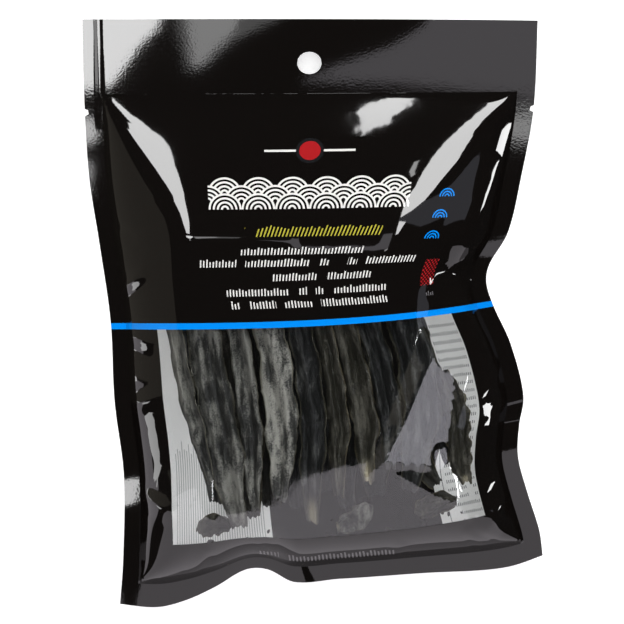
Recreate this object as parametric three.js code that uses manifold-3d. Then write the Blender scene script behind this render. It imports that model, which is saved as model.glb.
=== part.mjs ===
// A sealed retail pouch of dried wakame, lying on its back.
// The pouch is two films, front and back, welded together round the edges and in
// a deep header with a peg hole. Its front film has a clear window, and long
// crinkled fronds of the dried seaweed lie in it in three layers.
// Millimetres, +Z up. X runs across the pouch and Y from the bottom seal to the header.
import * as THREE from "three";
import { mergeVertices } from "three/addons/utils/BufferGeometryUtils.js";
import Module from "manifold-3d";

// The film, laid flat
const FILM_WIDTH = 160;
const FILM_HEIGHT = 208;
const SIDE_SEAL = 7.5;
const BOTTOM_SEAL = 8;
const HEADER = 26.5;
const FILM_THICK = 0.6;
const SEAL_GAP = 0.3;
const HALF_WIDTH = FILM_WIDTH / 2;
const HEADER_LINE = FILM_HEIGHT - HEADER;

// Peg hole and tear notches
const PEG_HOLE_RADIUS = 4;
const PEG_HOLE_DROP = 15.6;
const NOTCH_DROP = 33;
const NOTCH_DEPTH = 1.8;
const NOTCH_HEIGHT = 2.6;
const HOLE_SIDES = 26;
const NOTCH_SIDES = 10;
const CUTTER_HEIGHT = 60;

// The clear window in the printed front film, in film coordinates
const WINDOW = { left: -57.5, right: 58.8, bottom: 23, top: 98 };
const WINDOW_GAP = 0.3;

// The part's origin is under the middle of its box
const CENTRE_X = 1.1;
const CENTRE_Y = 102.8;

// The filled pouch in plan: film height, then where that height lies on each edge
const LEFT_EDGE = [
  { v: 0, x: -66.8, y: 0, z: 4.5 },
  { v: 16, x: -65.4, y: 16, z: 7.5 },
  { v: 46, x: -64.8, y: 45.8, z: 11 },
  { v: 73, x: -67.9, y: 72.1, z: 12.5 },
  { v: 101, x: -69.3, y: 100, z: 12.5 },
  { v: 129, x: -73.5, y: 128, z: 11 },
  { v: 151, x: -77, y: 149.4, z: 9.5 },
  { v: 175, x: -78.8, y: 173, z: 8 },
  { v: 208, x: -80, y: 206, z: 6 },
];
const RIGHT_EDGE = [
  { v: 0, x: 82.2, y: 17.2, z: 5 },
  { v: 11, x: 80.7, y: 26.5, z: 7 },
  { v: 26, x: 76, y: 40.5, z: 10.5 },
  { v: 40, x: 72.6, y: 52.8, z: 13 },
  { v: 52, x: 72.9, y: 63.5, z: 14 },
  { v: 64, x: 74.6, y: 73.9, z: 12 },
  { v: 84, x: 70.2, y: 92, z: 11.5 },
  { v: 98, x: 64.2, y: 105, z: 12.4 },
  { v: 107, x: 61.6, y: 113, z: 13.2 },
  { v: 115, x: 62.6, y: 119.5, z: 13 },
  { v: 129, x: 69.3, y: 131, z: 12 },
  { v: 149, x: 74, y: 150.5, z: 11 },
  { v: 175, x: 78.4, y: 174.2, z: 10 },
  { v: 208, x: 80, y: 205.1, z: 9 },
];
// The bottom edge buckles: share of the way across, then its rise in plan and its height
const BOTTOM_EDGE = [
  { v: 0, y: 0, z: 0 },
  { v: 0.1, y: -1.2, z: -0.6 },
  { v: 0.17, y: 1, z: -1.2 },
  { v: 0.24, y: 5.4, z: -2.4 },
  { v: 0.31, y: 11.2, z: -3.2 },
  { v: 0.36, y: 11.2, z: -2.4 },
  { v: 0.42, y: 6.6, z: 0.2 },
  { v: 0.52, y: 6.7, z: 1.4 },
  { v: 0.7, y: 4.7, z: 0.4 },
  { v: 0.9, y: -0.2, z: -0.8 },
  { v: 1, y: 0, z: 0 },
];
const BUCKLE_REACH = 36;
const BUCKLE_FADE = 1.6;
const RISE_POWER = 3;
// Steep flanks look narrower from above than the plateau, so plan width is shared out
const PLAN_SHARE = { middle: 1.09, edge: 0.36 };

// How far the films stand from the sealed middle surface, and how fast they get there
const FRONT_RISE = 18.5;
const BACK_DROP = 14.5;
const SHOULDER = { side: 34, header: 62, bottom: 26 };
const SHOULDER_POWER = 2.2;
// How much wider the right shoulder grows towards the header, between two film heights
const RIGHT_SLUMP = { width: 12, from: 70, to: 112 };
const HIP_SHARPNESS = 4;

// Folds in the front film, in plan: a ridge or valley from a to b. They fade out
// towards the seals, where the pocket is less than 1 / FOLD_FADE full.
const FOLD_FADE = 3;
const FOLDS = [
  { a: [48.6, 117.7], b: [69, 156], height: 1.7, left: 9, right: 6 },
  { a: [43, 90], b: [31, 43], height: 1.9, left: 10.5, right: 4 },
  { a: [48.6, 117.7], b: [66, 85], height: 1.8, left: 9, right: 7 },
  { a: [42, 117.7], b: [63, 114], height: -3.2, left: 9, right: 9 },
  { a: [-60, 18], b: [-44, 47], height: 1.3, left: 7, right: 6 },
  { a: [60, 26], b: [73, 47], height: 1.6, left: 6, right: 5 },
  { a: [-14, 29], b: [-9, 13], height: -1.8, left: 6, right: 5 },
];

// Cells of the films, which share their grid lines
const FILM_CELLS = { across: 22, up: 31 };

// The fronds, in film coordinates. Each runs from its lower end through a middle point
// to its upper end. level is its height in the pocket, 0 at the back film and 1 at the
// front, and lean tips it across its width so that neighbours lie like shingles.
const FROND_THICK = 0.7;
const MIDRIB_THICK = 0.7;
const MIDRIB_SHARE = 0.16;
const POCKET_DEPTH = 32;
// Lengthwise folds, which wander as they run up the frond
const FOLD_MM = 1.5;
const WANDER = { drift: 2.4, swing: 0.8, turns: 5 };
// Frilled margins: waves in height, and lobes cut into the outline
const RIPPLE_MM = 1.1;
const LOBE_CUT = 0.26;
const LOBE_OFFSET = 1.7;
const FRILL_POWER = 3;
// Narrow torn ends: the width there, and how fast it grows along the frond
const LOWER_END = { width: 0.42, growth: 3.2 };
const UPPER_END = { width: 0.36, growth: 2.6 };
const TOP_FRONDS = [
  { low: [-41, 45], mid: [-46.6, 70], high: [-48.6, 146], width: 7, folds: 1.5, lobes: 7, phase: 0.4 },
  { low: [-31, 28], mid: [-36, 62], high: [-37, 158], width: 13.5, folds: 2, lobes: 6, phase: 1.9 },
  { low: [-24.5, 35], mid: [-25, 66], high: [-22, 149], width: 8, folds: 1.5, lobes: 8, phase: 3.1 },
  { low: [-15, 38], mid: [-13.5, 70], high: [-11, 160], width: 11.5, folds: 1.5, lobes: 7, phase: 4.4 },
  { low: [-4, 29], mid: [-2.5, 64], high: [1, 152], width: 9, folds: 1.5, lobes: 8, phase: 5.2 },
  { low: [6.5, 38], mid: [6.5, 68], high: [10, 157], width: 7.5, folds: 1.5, lobes: 7, phase: 0.9 },
  { low: [17.5, 42], mid: [15.5, 72], high: [19, 148], width: 9, folds: 1.5, lobes: 6, phase: 2.5 },
  { low: [25.5, 46], mid: [25, 76], high: [28.5, 159], width: 8.5, folds: 1.5, lobes: 8, phase: 3.8 },
  { low: [33, 37], mid: [37, 70], high: [40, 151], width: 13.5, folds: 2, lobes: 6, phase: 5.9 },
  { low: [55, 36], mid: [51.5, 55], high: [47.5, 79], width: 9, folds: 1.5, lobes: 7, phase: 1.3 },
];
const MIDDLE_FRONDS = [
  { low: [-40, 37], mid: [-41.5, 80], high: [-42, 152], width: 12, folds: 1.5, lobes: 5, phase: 2.2 },
  { low: [-26, 31], mid: [-28, 76], high: [-27, 158], width: 13, folds: 1.5, lobes: 6, phase: 0.7 },
  { low: [-9, 34], mid: [-10, 80], high: [-8, 150], width: 13, folds: 1.5, lobes: 5, phase: 4.9 },
  { low: [9, 33], mid: [8, 74], high: [9, 160], width: 13, folds: 1.5, lobes: 6, phase: 3.3 },
  { low: [44, 37], mid: [25, 74], high: [26, 151], width: 12, folds: 1.5, lobes: 5, phase: 5.5 },
  { low: [50, 44], mid: [41, 86], high: [40, 156], width: 11, folds: 1.5, lobes: 5, phase: 1.6 },
];
const BOTTOM_FRONDS = [
  { low: [-38, 40], mid: [-40, 84], high: [-39, 150], width: 16, folds: 1.5, lobes: 5, phase: 1.1 },
  { low: [-19, 34], mid: [-20, 78], high: [-19, 157], width: 16, folds: 1.5, lobes: 5, phase: 4.1 },
  { low: [1, 38], mid: [0, 82], high: [1, 149], width: 16, folds: 1.5, lobes: 5, phase: 2.9 },
  { low: [21, 35], mid: [20, 80], high: [21, 156], width: 16, folds: 1.5, lobes: 5, phase: 5.7 },
  { low: [41, 42], mid: [40, 86], high: [41, 150], width: 15, folds: 1.5, lobes: 5, phase: 0.2 },
];
const FLAKES = [
  { low: [-47, 25], mid: [-42, 28], high: [-35, 26], width: 8, folds: 1, lobes: 2, phase: 0.6 },
  { low: [4, 25], mid: [11, 27], high: [17, 33], width: 8, folds: 1, lobes: 2, phase: 2.8 },
  { low: [34, 26], mid: [41, 29], high: [50, 29], width: 8, folds: 1, lobes: 2, phase: 4.6 },
];
const LAYERS = [
  { name: "frond_top", fronds: TOP_FRONDS, level: 0.82, lean: 0.06, along: 19, across: 6 },
  { name: "frond_middle", fronds: MIDDLE_FRONDS, level: 0.53, lean: 0.03, along: 14, across: 5 },
  { name: "frond_bottom", fronds: BOTTOM_FRONDS, level: 0.21, lean: 0.03, along: 12, across: 5 },
  { name: "flake", fronds: FLAKES, level: 0.42, lean: 0.02, along: 5, across: 4 },
];

// Steps at which the slopes of the films (mm) and fronds (shares) are read
const FILM_STEP = 0.5;
const FROND_STEP = 0.02;
// The least share of level that a slope counts as
const LEAST_LEVEL = 0.45;

const COLOURS = {
  film: 0x070708,
  window: 0xdfe4e6,
  back: 0x0b0b0c,
  frond: 0x24281f,
};

const wasm = await Module();
wasm.setup();

// Reads a value at v from stations by a smooth curve through them
function follow(stations, key, v) {
  const last = stations.length - 1;
  const at = THREE.MathUtils.clamp(v, stations[0].v, stations[last].v);
  let i = 0;
  while (i < last - 1 && at > stations[i + 1].v) i += 1;
  const slope = (k) => {
    const before = stations[Math.max(k - 1, 0)];
    const after = stations[Math.min(k + 1, last)];
    return (after[key] - before[key]) / (after.v - before.v);
  };
  const span = stations[i + 1].v - stations[i].v;
  const t = (at - stations[i].v) / span;
  const keep = 1 - t;
  return (
    stations[i][key] * (1 + 2 * t) * keep * keep +
    stations[i + 1][key] * t * t * (3 - 2 * t) +
    slope(i) * span * t * keep * keep -
    slope(i + 1) * span * t * t * keep
  );
}

// The middle surface between the films: film coordinates to a point
function middle(u, v) {
  const a = (u + HALF_WIDTH) / FILM_WIDTH;
  const across = 0.5 + (a - 0.5) * (PLAN_SHARE.middle - PLAN_SHARE.edge * (a - 0.5) ** 2);
  const left = ["x", "y", "z"].map((k) => follow(LEFT_EDGE, k, v));
  const right = ["x", "y", "z"].map((k) => follow(RIGHT_EDGE, k, v));
  const decay = Math.max(0, 1 - v / BUCKLE_REACH) ** BUCKLE_FADE;
  const rise = across ** RISE_POWER;
  return new THREE.Vector3(
    THREE.MathUtils.lerp(left[0], right[0], across),
    THREE.MathUtils.lerp(left[1], right[1], rise) + decay * follow(BOTTOM_EDGE, "y", a),
    THREE.MathUtils.lerp(left[2], right[2], across) + decay * follow(BOTTOM_EDGE, "z", a),
  );
}

// 0 at a seal, 1 beyond the rounded shoulder
function shoulder(distance, reach) {
  const t = THREE.MathUtils.clamp(distance / reach, 0, 1);
  return 1 - (1 - t) ** SHOULDER_POWER;
}

// How full the pocket is at a point of the film, 0 at its seals and 1 in the middle
function fullness(u, v) {
  const { width, from, to } = RIGHT_SLUMP;
  const slump = u > 0 ? width * THREE.MathUtils.smoothstep(v, from, to) : 0;
  const parts = [
    shoulder(HALF_WIDTH - SIDE_SEAL - Math.abs(u), SHOULDER.side + slump),
    shoulder(HEADER_LINE - v, SHOULDER.header),
    shoulder(v - BOTTOM_SEAL, SHOULDER.bottom),
  ];
  if (Math.min(...parts) <= 0) return 0;
  const sum = parts.reduce((total, p) => total + p ** -HIP_SHARPNESS, 0);
  return Math.min(1, (sum - 2) ** (-1 / HIP_SHARPNESS));
}

// The height that a fold adds at a point in plan
function foldHeight(fold, x, y) {
  const [ax, ay] = fold.a;
  const dx = fold.b[0] - ax;
  const dy = fold.b[1] - ay;
  const length = Math.hypot(dx, dy);
  const along = ((x - ax) * dx + (y - ay) * dy) / length / length;
  if (along <= 0 || along >= 1) return 0;
  const offset = ((x - ax) * dy - (y - ay) * dx) / length;
  const width = offset > 0 ? fold.right : fold.left;
  return fold.height * Math.sqrt(Math.sin(Math.PI * along)) * Math.max(0, 1 - Math.abs(offset) / width);
}

function frontInside(u, v) {
  const p = middle(u, v);
  const full = fullness(u, v);
  const folds = FOLDS.reduce((total, fold) => total + foldHeight(fold, p.x, p.y), 0);
  p.z += SEAL_GAP / 2 + FRONT_RISE * full + folds * Math.min(1, FOLD_FADE * full);
  return p;
}

function backInside(u, v) {
  const p = middle(u, v);
  p.z = Math.max(FILM_THICK, p.z - SEAL_GAP / 2 - BACK_DROP * fullness(u, v));
  return p;
}

// The height of a sheet measured straight up, where it is thick at right angles to a
// surface with these two directions in it. Sheets that grow upwards never cross themselves.
function upright(thick, alongOne, alongOther) {
  const level = Math.abs(alongOne.cross(alongOther).normalize().z);
  return thick / Math.max(LEAST_LEVEL, level);
}

function ticks(from, to, count) {
  return Array.from({ length: count + 1 }, (_, i) => THREE.MathUtils.lerp(from, to, i / count));
}

// A closed sheet between two grids of points, low[row][column] under high[row][column],
// made of the cells that keep(row, column) accepts
function sheetSolid(low, high, keep = () => true) {
  const rows = low.length;
  const columns = low[0].length;
  const points = [...low.flat(), ...high.flat()].flatMap((p) => [p.x, p.y, p.z]);
  const top = rows * columns;
  const at = (row, column) => row * columns + column;
  const has = (r, c) => r >= 0 && c >= 0 && r < rows - 1 && c < columns - 1 && keep(r, c);
  const faces = [];
  const wall = (a, b) => faces.push(a, b, b + top, a, b + top, a + top);
  for (let r = 0; r < rows - 1; r += 1) {
    for (let c = 0; c < columns - 1; c += 1) {
      if (!has(r, c)) continue;
      const [a, b, d, e] = [at(r, c), at(r, c + 1), at(r + 1, c + 1), at(r + 1, c)];
      faces.push(a, d, b, a, e, d);
      faces.push(a + top, b + top, d + top, a + top, d + top, e + top);
      if (!has(r - 1, c)) wall(a, b);
      if (!has(r, c + 1)) wall(b, d);
      if (!has(r + 1, c)) wall(d, e);
      if (!has(r, c - 1)) wall(e, a);
    }
  }
  const geometry = new THREE.BufferGeometry();
  geometry.setAttribute("position", new THREE.Float32BufferAttribute(points, 3));
  geometry.setIndex(faces);
  return geometry;
}

function toManifold(geometry) {
  const bare = new THREE.BufferGeometry();
  bare.setAttribute("position", geometry.getAttribute("position"));
  if (geometry.index) bare.setIndex(geometry.index);
  const merged = mergeVertices(bare, 1e-4);
  return new wasm.Manifold(
    new wasm.Mesh({
      numProp: 3,
      vertProperties: merged.getAttribute("position").array,
      triVerts: new Uint32Array(merged.index.array),
    }),
  );
}

function fromManifold(solid) {
  const mesh = solid.getMesh();
  const geometry = new THREE.BufferGeometry();
  geometry.setAttribute("position", new THREE.BufferAttribute(mesh.vertProperties, 3));
  geometry.setIndex(new THREE.BufferAttribute(mesh.triVerts, 1));
  return geometry;
}

// Tools that cut the peg hole and the two tear notches through both films
function cutters() {
  const hole = new THREE.CylinderGeometry(PEG_HOLE_RADIUS, PEG_HOLE_RADIUS, CUTTER_HEIGHT, HOLE_SIDES);
  hole.rotateX(Math.PI / 2);
  const centre = middle(0, FILM_HEIGHT - PEG_HOLE_DROP);
  hole.translate(centre.x, centre.y, 0);
  const notches = [-HALF_WIDTH, HALF_WIDTH].map((u) => {
    const radius = NOTCH_HEIGHT / 2;
    const notch = new THREE.CylinderGeometry(radius, radius, CUTTER_HEIGHT, NOTCH_SIDES);
    notch.rotateX(Math.PI / 2);
    notch.scale(NOTCH_DEPTH / radius, 1, 1);
    const edge = middle(u, FILM_HEIGHT - NOTCH_DROP);
    notch.translate(edge.x, edge.y, 0);
    return notch;
  });
  return [hole, ...notches].map(toManifold);
}

function cut(film) {
  return cutters().reduce((left, cutter) => left.subtract(cutter), film);
}

// One film as two grids of points: its inside, and its outside, which never dips
// below the surface that the pouch lies on
function filmGrids(inside, us, vs, side) {
  const inner = vs.map((v) => us.map((u) => inside(u, v)));
  const outer = vs.map((v, r) =>
    us.map((u, c) => {
      const across = inside(u + FILM_STEP, v).sub(inside(u - FILM_STEP, v));
      const along = inside(u, v + FILM_STEP).sub(inside(u, v - FILM_STEP));
      const point = inner[r][c].clone();
      return point.setZ(Math.max(0, point.z + side * upright(FILM_THICK, across, along)));
    }),
  );
  return side > 0 ? [inner, outer] : [outer, inner];
}

function spread(breaks, count) {
  // Grid lines that pass through every break, shared out by length
  const total = breaks[breaks.length - 1] - breaks[0];
  const lines = [breaks[0]];
  for (let i = 0; i < breaks.length - 1; i += 1) {
    const cells = Math.max(1, Math.round((count * (breaks[i + 1] - breaks[i])) / total));
    lines.push(...ticks(breaks[i], breaks[i + 1], cells).slice(1));
  }
  return lines;
}

const COLUMNS = spread(
  [-HALF_WIDTH, -HALF_WIDTH + SIDE_SEAL, WINDOW.left, WINDOW.right, HALF_WIDTH - SIDE_SEAL, HALF_WIDTH],
  FILM_CELLS.across,
);
const ROWS = spread(
  [0, BOTTOM_SEAL, WINDOW.bottom, WINDOW.top, HEADER_LINE, FILM_HEIGHT],
  FILM_CELLS.up,
);

// The printed front film, round its window
function frontFilm() {
  const [low, high] = filmGrids(frontInside, COLUMNS, ROWS, 1);
  const printed = (row, column) => {
    const u = COLUMNS[column];
    const v = ROWS[row];
    return u < WINDOW.left || u >= WINDOW.right || v < WINDOW.bottom || v >= WINDOW.top;
  };
  return cut(toManifold(sheetSolid(low, high, printed)));
}

// The clear window, on the same grid lines, with a fine gap to the print
function frontWindow() {
  const inset = (lines, from, to) => {
    const inside = lines.filter((line) => line > from && line < to);
    return [from + WINDOW_GAP, ...inside, to - WINDOW_GAP];
  };
  const us = inset(COLUMNS, WINDOW.left, WINDOW.right);
  const vs = inset(ROWS, WINDOW.bottom, WINDOW.top);
  const [low, high] = filmGrids(frontInside, us, vs, 1);
  return toManifold(sheetSolid(low, high));
}

function backFilm() {
  const [low, high] = filmGrids(backInside, COLUMNS, ROWS, -1);
  return cut(toManifold(sheetSolid(low, high)));
}

// The handle of the smooth curve from a frond's lower end through its middle point
function bowOf({ low, mid, high }) {
  const below = Math.hypot(mid[0] - low[0], mid[1] - low[1]);
  const above = Math.hypot(high[0] - mid[0], high[1] - mid[1]);
  const at = below / (below + above);
  const rest = 1 - at;
  return [0, 1].map((k) => (mid[k] - rest * rest * low[k] - at * at * high[k]) / (2 * at * rest));
}

// A point on a frond's middle sheet: side is -1 to 1 across it, t is 0 to 1 up it
function frondPoint(frond, layer, side, t) {
  const { low, high } = frond;
  const bow = bowOf(frond);
  const keep = 1 - t;
  const centre = [0, 1].map((k) => keep * keep * low[k] + 2 * keep * t * bow[k] + t * t * high[k]);
  const heading = [0, 1].map((k) => 2 * keep * (bow[k] - low[k]) + 2 * t * (high[k] - bow[k]));
  const speed = Math.hypot(...heading);
  const lower = LOWER_END.width + LOWER_END.growth * t;
  const upper = UPPER_END.width + UPPER_END.growth * keep;
  const ends = Math.min(1, lower, upper);
  const turn = 2 * Math.PI * t;
  const margin = Math.abs(side) ** FRILL_POWER;
  const lobe = 0.5 + 0.5 * Math.sin(frond.lobes * turn + frond.phase + LOBE_OFFSET * Math.sign(side));
  const reach = (frond.width / 2) * ends * (1 - LOBE_CUT * lobe * margin) * side;
  const u = centre[0] + (reach * heading[1]) / speed;
  const v = centre[1] - (reach * heading[0]) / speed;
  const back = backInside(u, v);
  const front = frontInside(u, v);
  const depth = front.z - back.z;
  const swing = WANDER.swing * Math.sin(WANDER.turns * t + frond.phase);
  const wave = Math.PI * frond.folds * side + frond.phase + WANDER.drift * t + swing;
  const fold = FOLD_MM * ends * Math.cos(wave);
  const ripple = RIPPLE_MM * margin * Math.sin((frond.lobes + 1) * turn + 2 * frond.phase);
  const point = middle(u, v);
  point.z = back.z + depth * (layer.level + layer.lean * side) + ((fold + ripple) * depth) / POCKET_DEPTH;
  return point;
}

// One frond as a thin closed sheet, thicker along its midrib
function frondSolid(frond, layer) {
  const sides = ticks(-1, 1, layer.across);
  const stations = ticks(0, 1, layer.along);
  const grids = [-1, 1].map((face) =>
    stations.map((t) =>
      sides.map((side) => {
        const at = (ds, dt) => frondPoint(frond, layer, side + ds, t + dt);
        const acrossIt = at(FROND_STEP, 0).sub(at(-FROND_STEP, 0));
        const alongIt = at(0, FROND_STEP).sub(at(0, -FROND_STEP));
        const thick = FROND_THICK + MIDRIB_THICK * Math.exp(-((side / MIDRIB_SHARE) ** 2));
        const point = at(0, 0);
        return point.setZ(point.z + (face * upright(thick, acrossIt, alongIt)) / 2);
      }),
    ),
  );
  return toManifold(sheetSolid(grids[0], grids[1]));
}

function material(colour, roughness, opacity = 1) {
  return new THREE.MeshStandardMaterial({
    color: colour,
    roughness,
    metalness: 0,
    opacity,
    transparent: opacity < 1,
  });
}

const pouch = new THREE.Group();
pouch.name = "wakame_pouch";
pouch.position.set(-CENTRE_X, -CENTRE_Y, 0);

function place(name, solid, look) {
  const mesh = new THREE.Mesh(fromManifold(solid), look);
  mesh.name = name;
  pouch.add(mesh);
}

place("front_film", frontFilm(), material(COLOURS.film, 0.15));
place("front_window", frontWindow(), material(COLOURS.window, 0.1, 0.25));
place("back_film", backFilm(), material(COLOURS.back, 0.2));

LAYERS.forEach((layer) =>
  layer.fronds.forEach((frond, i) =>
    place(layer.name + "_" + (i + 1), frondSolid(frond, layer), material(COLOURS.frond, 0.8)),
  ),
);

export default pouch;
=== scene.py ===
"""Dresses a sealed pouch of dried wakame that lies on its back.

The pouch is two glossy black films, welded together round their edges. The front film has a
clear window, through which crinkled fronds of the seaweed and the pale panel of the back
film show. Film coordinates (u, v) are millimetres on the film laid flat: u from its middle
line, v up from its bottom edge. Shapes are worked out in millimetres and made in metres.
"""

import logging
import math
from dataclasses import dataclass, field
from enum import Enum
from typing import Any, Callable

import bpy
import numpy as np
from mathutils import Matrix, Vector
from mathutils.geometry import tessellate_polygon


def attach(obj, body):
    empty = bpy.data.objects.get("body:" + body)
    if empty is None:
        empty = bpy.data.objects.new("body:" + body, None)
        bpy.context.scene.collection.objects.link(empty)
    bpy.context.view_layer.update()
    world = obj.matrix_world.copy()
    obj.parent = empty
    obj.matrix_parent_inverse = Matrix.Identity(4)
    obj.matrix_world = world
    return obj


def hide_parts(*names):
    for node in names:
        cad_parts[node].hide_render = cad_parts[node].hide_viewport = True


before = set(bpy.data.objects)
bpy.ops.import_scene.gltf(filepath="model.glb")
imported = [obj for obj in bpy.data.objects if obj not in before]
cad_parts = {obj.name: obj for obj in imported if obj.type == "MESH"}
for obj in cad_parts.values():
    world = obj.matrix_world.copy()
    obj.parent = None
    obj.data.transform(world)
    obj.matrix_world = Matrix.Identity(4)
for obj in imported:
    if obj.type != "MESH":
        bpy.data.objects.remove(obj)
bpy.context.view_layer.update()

LOG = logging.getLogger("pouch")
MM = 0.001
SEED = 11
SHARP_ANGLE = math.radians(22)
Array = np.ndarray


def smooth_step(low: float, high: float, value: Array) -> Array:
    """Goes smoothly from 0 to 1 as value goes from low to high."""
    t = np.clip((value - low) / (high - low), 0, 1)
    return t * t * (3 - 2 * t)


def follow(stations: Array, column: int, at: Array) -> Array:
    """Reads a smooth curve through stations.

    Args:
        stations: Rows of a place and the values there, in order of place.
        column: The value to read.
        at: Places to read it at.

    Returns:
        The values at those places.
    """
    knots, values = stations[:, 0], stations[:, column]
    rise = np.append(values[1:], values[-1]) - np.append(values[0], values[:-1])
    run = np.append(knots[1:], knots[-1]) - np.append(knots[0], knots[:-1])
    slopes = rise / run
    at = np.clip(at, knots[0], knots[-1])
    i = np.clip(np.searchsorted(knots, at) - 1, 0, len(knots) - 2)
    span = knots[i + 1] - knots[i]
    t = (at - knots[i]) / span
    keep = 1 - t
    ends = values[i] * (1 + 2 * t) * keep**2 + values[i + 1] * t**2 * (3 - 2 * t)
    return ends + span * t * keep * (slopes[i] * keep - slopes[i + 1] * t)


def ripple(rng: np.random.Generator, waves: int, longest: float) -> Callable[[Array], Array]:
    """Makes a wandering line of about -1 to 1 from a few sine waves.

    Args:
        rng: Where its phases come from.
        waves: How many sine waves it has.
        longest: The length of the longest wave.

    Returns:
        A function of place.
    """
    phases = rng.uniform(0, 2 * math.pi, waves)
    turns = [2 * math.pi * (1 + 0.83 * k) / longest for k in range(waves)]
    return lambda at: sum(
        np.sin(turn * at + phase) / (1 + 0.5 * k) for k, (turn, phase) in enumerate(zip(turns, phases))
    ) / (0.6 * waves)


@dataclass(frozen=True)
class Fold:
    """A straight crease in a film: a ridge, or a valley where its height is below 0.

    Its ends a and b are in plan, or in film coordinates, as its owner says. left and right
    are how far its two flanks reach, and edge is how far its top is rounded.
    """

    a: tuple[float, float]
    b: tuple[float, float]
    height: float
    left: float
    right: float
    edge: float = 0.0

    def at(self, x: Array, y: Array) -> Array:
        """Gives the height it adds at points.

        Args:
            x: The points' places across.
            y: The points' places up.

        Returns:
            Heights in millimetres.
        """
        dx, dy = self.b[0] - self.a[0], self.b[1] - self.a[1]
        length = math.hypot(dx, dy)
        along = ((x - self.a[0]) * dx + (y - self.a[1]) * dy) / length**2
        offset = ((x - self.a[0]) * dy - (y - self.a[1]) * dx) / length
        width = np.where(offset > 0, self.right, self.left)
        rounded = np.hypot(offset, self.edge) - self.edge
        swell = np.sqrt(np.sin(np.pi * np.clip(along, 0, 1)))
        inside = (along > 0) & (along < 1)
        return self.height * swell * np.maximum(0, 1 - rounded / width) * inside


@dataclass(frozen=True)
class Facet:
    """A place where the film is drawn up flat, with steep sides round it.

    The flat part goes through a point of the pouch, with a slope across and a slope up.
    Each side is a foot line from one point in plan to another, with the facet on its left,
    and how much it rises in each millimetre inwards.
    """

    through: tuple[float, float, float]
    slope: tuple[float, float]
    sides: tuple[tuple[tuple[float, float], tuple[float, float], float], ...]

    def at(self, point: Array) -> Array:
        """Gives how far it lifts points of the film.

        Args:
            point: Points, with their three numbers last.

        Returns:
            Heights in millimetres.
        """
        x, y = point[..., 0], point[..., 1]
        (x0, y0, z0), (across, up) = self.through, self.slope
        heights = [z0 + across * (x - x0) + up * (y - y0) - point[..., 2]]
        for (ax, ay), (bx, by), rise in self.sides:
            dx, dy = bx - ax, by - ay
            heights.append(((y - ay) * dx - (x - ax) * dy) / math.hypot(dx, dy) * rise)
        return np.maximum(0, np.minimum.reduce(heights))


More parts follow.
